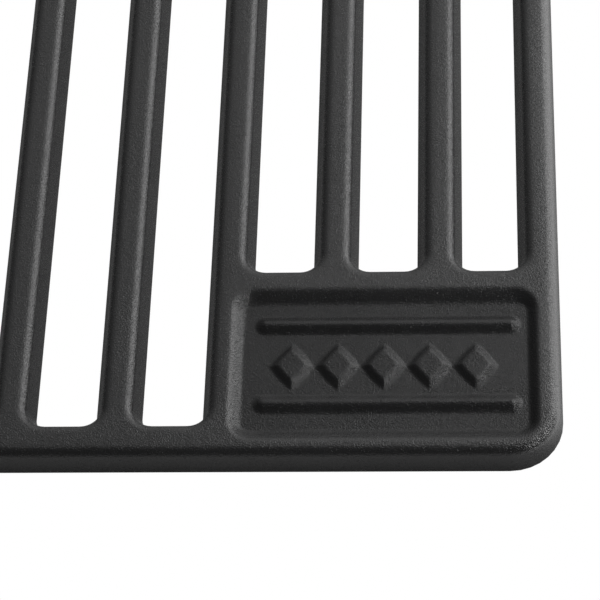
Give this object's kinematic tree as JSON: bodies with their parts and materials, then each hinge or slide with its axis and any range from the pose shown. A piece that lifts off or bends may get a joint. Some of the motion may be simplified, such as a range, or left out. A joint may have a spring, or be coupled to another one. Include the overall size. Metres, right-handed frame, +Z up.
{
  "type": "cooking grate",
  "caption": "Flat slotted enamelled cooking grate with a recessed corner panel and folding wire lift handles.",
  "frame": {"origin": "centre of the flat underside", "axes": "+X across the bars towards the right end, +Y along the bars away from the nameplate panel's side, +Z up"},
  "size_m": [0.61, 0.401, 0.0101],
  "materials": {
    "enamel": "satin black vitreous enamel, fine grain",
    "lug_steel": "satin black",
    "rivet_steel": "satin steel",
    "bail_wire": "satin stainless wire",
    "coil_wire": "bright spring wire"
  },
  "bodies": {
    "grate": {"grate_plate": "enamel", "right_front_lug": "lug_steel", "right_front_rivets": "rivet_steel", "right_back_lug": "lug_steel", "right_back_rivets": "rivet_steel", "left_front_lug": "lug_steel", "left_front_rivets": "rivet_steel", "left_back_lug": "lug_steel", "left_back_rivets": "rivet_steel"},
    "right_handle": {"right_bail": "bail_wire", "right_coil_grip": "coil_wire"},
    "left_handle": {"left_bail": "bail_wire", "left_coil_grip": "coil_wire"}
  },
  "joints": [
    {"name": "right_handle_hinge", "type": "hinge", "parent": "grate", "child": "right_handle", "pos_m": [0.25124, 0, 0.0046], "axis": [0, -1, 0], "range_deg": [0, 140]},
    {"name": "left_handle_hinge", "type": "hinge", "parent": "grate", "child": "left_handle", "pos_m": [-0.25124, 0, 0.0046], "axis": [0, 1, 0], "range_deg": [0, 140]}
  ]
}
